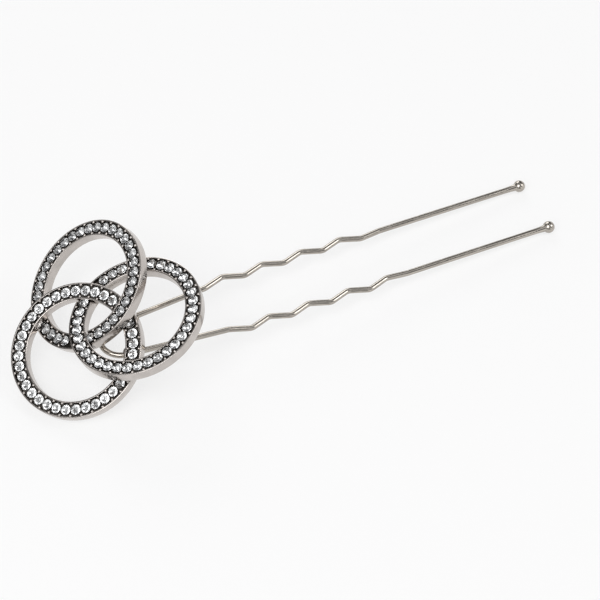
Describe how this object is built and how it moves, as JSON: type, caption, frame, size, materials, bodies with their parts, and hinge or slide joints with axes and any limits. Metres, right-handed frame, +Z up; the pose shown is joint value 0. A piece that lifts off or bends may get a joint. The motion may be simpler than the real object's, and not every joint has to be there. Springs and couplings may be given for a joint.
{
  "type": "decorative hairpin",
  "caption": "Hairpin with two crimped wire prongs and an ornament of linked tilted rings, each set with a row of round rhinestones.",
  "frame": {"origin": "centre of the bounding box's bottom, on the table the clip rests on", "axes": "+X from the ornament towards the prong tips, +Z up out of the ornament's stone-set face"},
  "size_m": [0.097, 0.0336, 0.0174],
  "materials": {
    "ring_plating": "bright cast metal, the sunk channel darkened",
    "pin_wire": "polished spring wire",
    "solder": "smooth soft solder",
    "rhinestones": "clear brilliant-cut glass with foiled backs"
  },
  "bodies": {
    "ornament": {"lower_rhinestones_01": "rhinestones", "lower_rhinestones_02": "rhinestones", "lower_rhinestones_03": "rhinestones", "lower_rhinestones_04": "rhinestones", "lower_rhinestones_05": "rhinestones", "lower_rhinestones_06": "rhinestones", "lower_rhinestones_07": "rhinestones", "lower_rhinestones_08": "rhinestones", "lower_rhinestones_09": "rhinestones", "lower_rhinestones_10": "rhinestones", "lower_rhinestones_11": "rhinestones", "lower_ring": "ring_plating", "pin_bend": "pin_wire", "right_rhinestones_01": "rhinestones", "right_rhinestones_02": "rhinestones", "right_rhinestones_03": "rhinestones", "right_rhinestones_04": "rhinestones", "right_rhinestones_05": "rhinestones", "right_rhinestones_06": "rhinestones", "right_rhinestones_07": "rhinestones", "right_rhinestones_08": "rhinestones", "right_rhinestones_09": "rhinestones", "right_rhinestones_10": "rhinestones", "right_rhinestones_11": "rhinestones", "right_rhinestones_12": "rhinestones", "right_ring": "ring_plating", "solder_lower_over_right": "solder", "solder_lower_over_upper": "solder", "solder_pin_to_lower": "solder", "solder_pin_to_upper": "solder", "solder_right_over_lower": "solder", "solder_right_over_upper": "solder", "solder_upper_over_lower": "solder", "solder_upper_over_right": "solder", "upper_rhinestones_01": "rhinestones", "upper_rhinestones_02": "rhinestones", "upper_rhinestones_03": "rhinestones", "upper_rhinestones_04": "rhinestones", "upper_rhinestones_05": "rhinestones", "upper_rhinestones_06": "rhinestones", "upper_rhinestones_07": "rhinestones", "upper_rhinestones_08": "rhinestones", "upper_rhinestones_09": "rhinestones", "upper_rhinestones_10": "rhinestones", "upper_rhinestones_11": "rhinestones", "upper_rhinestones_12": "rhinestones", "upper_ring": "ring_plating"},
    "left_prong": {"left_prong": "pin_wire", "left_tip_ball": "pin_wire"},
    "right_prong": {"right_prong": "pin_wire", "right_tip_ball": "pin_wire"}
  },
  "joints": [
    {"name": "left_prong_flex", "type": "hinge", "parent": "ornament", "child": "left_prong", "pos_m": [-0.01864, -0.00045, 0.0057], "axis": [0.0702, 0, 0.9975], "range_deg": [-3, 5], "stiffness_Nm_per_rad": 0.28},
    {"name": "right_prong_flex", "type": "hinge", "parent": "ornament", "child": "right_prong", "pos_m": [-0.01864, -0.00935, 0.0057], "axis": [-0.0702, 0, -0.9975], "range_deg": [-3, 5], "stiffness_Nm_per_rad": 0.28}
  ]
}
